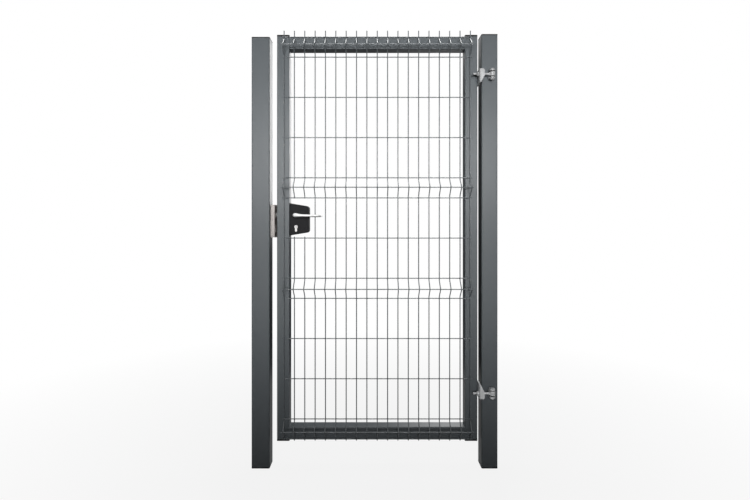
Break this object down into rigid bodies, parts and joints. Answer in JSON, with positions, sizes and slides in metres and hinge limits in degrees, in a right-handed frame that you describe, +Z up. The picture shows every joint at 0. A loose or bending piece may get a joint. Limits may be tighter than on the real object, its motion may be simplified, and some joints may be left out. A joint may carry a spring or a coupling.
{
  "type": "pedestrian gate",
  "caption": "Steel pedestrian gate: tube leaf faced with folded welded mesh, hung on adjustable hinges between square posts, with lever handle, latch and keep.",
  "frame": {"origin": "centre of the hinge post's foot, at ground level", "axes": "+Z up, +X from the lock side to the hinge side, -Y towards the outer side, to which the leaf opens"},
  "size_m": [1.2225, 0.1608, 2.1745],
  "materials": {
    "coated_steel": "satin anthracite powder coat",
    "coated_wire": "satin anthracite coat over galvanised wire",
    "black_plastic": "fine-grained black plastic",
    "zinc_plate": "dull bright zinc",
    "stainless_steel": "brushed",
    "bright_aluminium": "satin anodised"
  },
  "bodies": {
    "posts": {"hinge_post": "coated_steel", "hinge_post_cap": "black_plastic", "hinge_post_foot": "black_plastic", "latch_post": "coated_steel", "latch_post_cap": "black_plastic", "latch_post_foot": "black_plastic", "keep": "stainless_steel", "upper_post_bracket": "zinc_plate", "lower_post_bracket": "zinc_plate", "upper_hinge_pin": "zinc_plate", "lower_hinge_pin": "zinc_plate", "upper_hinge_washers": "black_plastic", "lower_hinge_washers": "black_plastic"},
    "leaf": {"hinge_stile": "coated_steel", "lock_stile": "coated_steel", "top_rail": "coated_steel", "bottom_rail": "coated_steel", "hinge_stile_top_cap": "black_plastic", "hinge_stile_bottom_cap": "black_plastic", "lock_stile_top_cap": "black_plastic", "lock_stile_bottom_cap": "black_plastic", "mesh_panel": "coated_wire", "upper_leaf_bracket": "zinc_plate", "lower_leaf_bracket": "zinc_plate", "upper_eye_bolt": "zinc_plate", "lower_eye_bolt": "zinc_plate", "upper_eye_nuts": "zinc_plate", "lower_eye_nuts": "zinc_plate", "lock_face_plate": "stainless_steel", "front_lock_cover": "black_plastic", "back_lock_cover": "black_plastic", "key_cylinder": "stainless_steel"},
    "handle": {"front_handle": "bright_aluminium", "back_handle": "bright_aluminium", "handle_spindle": "zinc_plate"},
    "latch": {"latch": "stainless_steel"}
  },
  "joints": [
    {"name": "gate_swing", "type": "hinge", "parent": "posts", "child": "leaf", "pos_m": [0.007, -0.062, 0], "axis": [0, 0, 1], "range_deg": [0, 180]},
    {"name": "handle_turn", "type": "hinge", "parent": "leaf", "child": "handle", "pos_m": [-0.963, 0, 1.258], "axis": [0, 1, 0], "range_deg": [0, 40], "stiffness_Nm_per_rad": 2, "springref_deg": -17.19},
    {"name": "latch_slide", "type": "slide", "parent": "leaf", "child": "latch", "axis": [1, 0, 0], "range_m": [0, 0.006]}
  ],
  "couplings": [
    {"joint": "latch_slide", "follows": "handle_turn", "m_per_rad": 0.00859}
  ]
}
